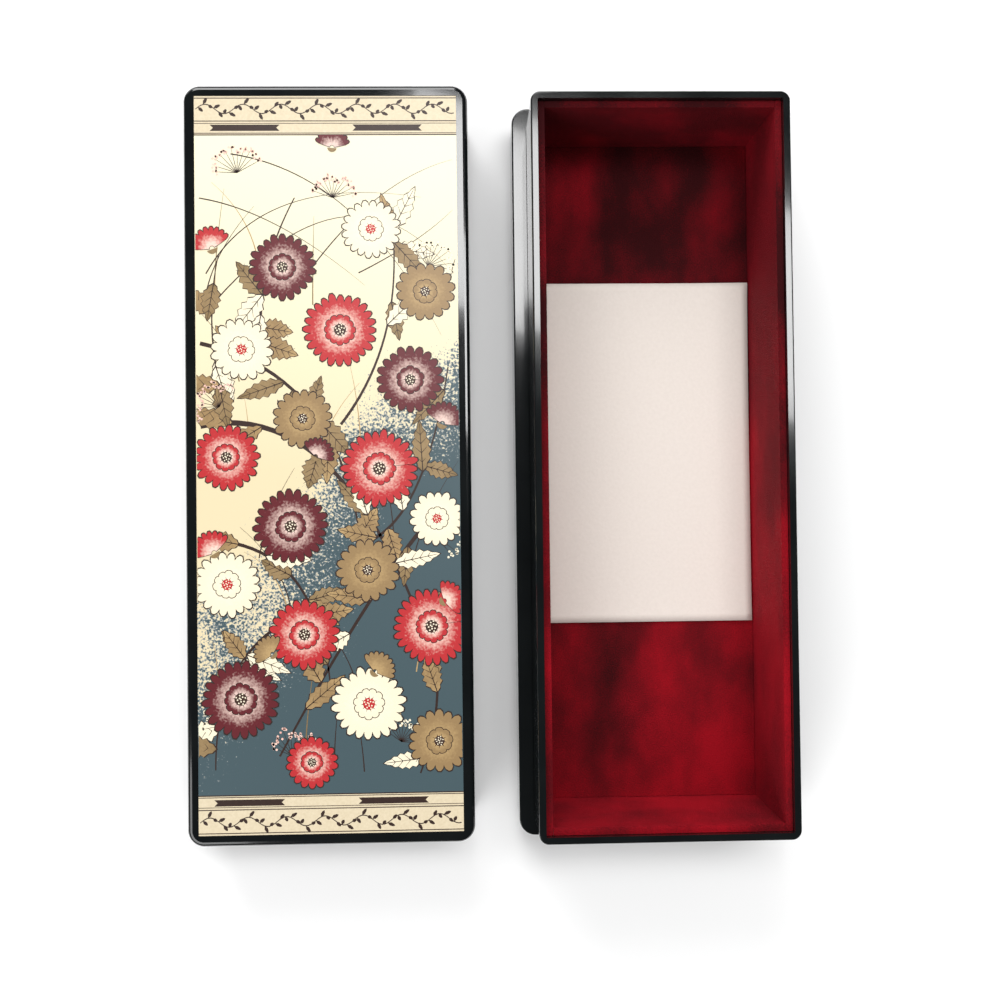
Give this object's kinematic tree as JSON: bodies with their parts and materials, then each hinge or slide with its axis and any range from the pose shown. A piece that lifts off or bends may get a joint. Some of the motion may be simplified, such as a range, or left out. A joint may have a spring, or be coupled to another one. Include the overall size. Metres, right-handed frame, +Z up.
{
  "type": "lacquer box",
  "caption": "Long black lacquer box, shown open: a velvet-lined tray with a raised inner frame and a loose paper leaflet, and its lift-off lid with a flower-printed panel.",
  "frame": {"origin": "middle of the tray's underside, on the surface the box lies on", "axes": "+Y along the tray, +X across it to the right, +Z up out of the open tray; the lid lies beside the tray towards -X"},
  "size_m": [0.1946, 0.2423, 0.043],
  "materials": {
    "lacquer": "black gloss lacquer",
    "velvet": "crimson velvet",
    "card": "grey backing card",
    "wadding": "soft wadding",
    "paper": "cream uncoated paper",
    "print": "printed flowers on pale gold"
  },
  "bodies": {
    "tray": {"tray_shell": "lacquer", "rise_frame": "lacquer", "left_lining_board": "card", "right_lining_board": "card", "head_lining_board": "card", "foot_lining_board": "card", "left_lining_velvet": "velvet", "right_lining_velvet": "velvet", "head_lining_velvet": "velvet", "foot_lining_velvet": "velvet", "floor_board": "card", "floor_pad": "wadding", "floor_velvet": "velvet"},
    "lid": {"lid_shell": "lacquer", "lid_picture_panel": "print"},
    "leaflet": {"leaflet": "paper"}
  },
  "joints": [
    {"name": "lid_lift", "type": "slide", "parent": "tray", "child": "lid", "axis": [0, 0, 1], "range_m": [0, 0.1]},
    {"name": "leaflet_lift", "type": "slide", "parent": "tray", "child": "leaflet", "axis": [0, 0, 1], "range_m": [0, 0.08]}
  ]
}
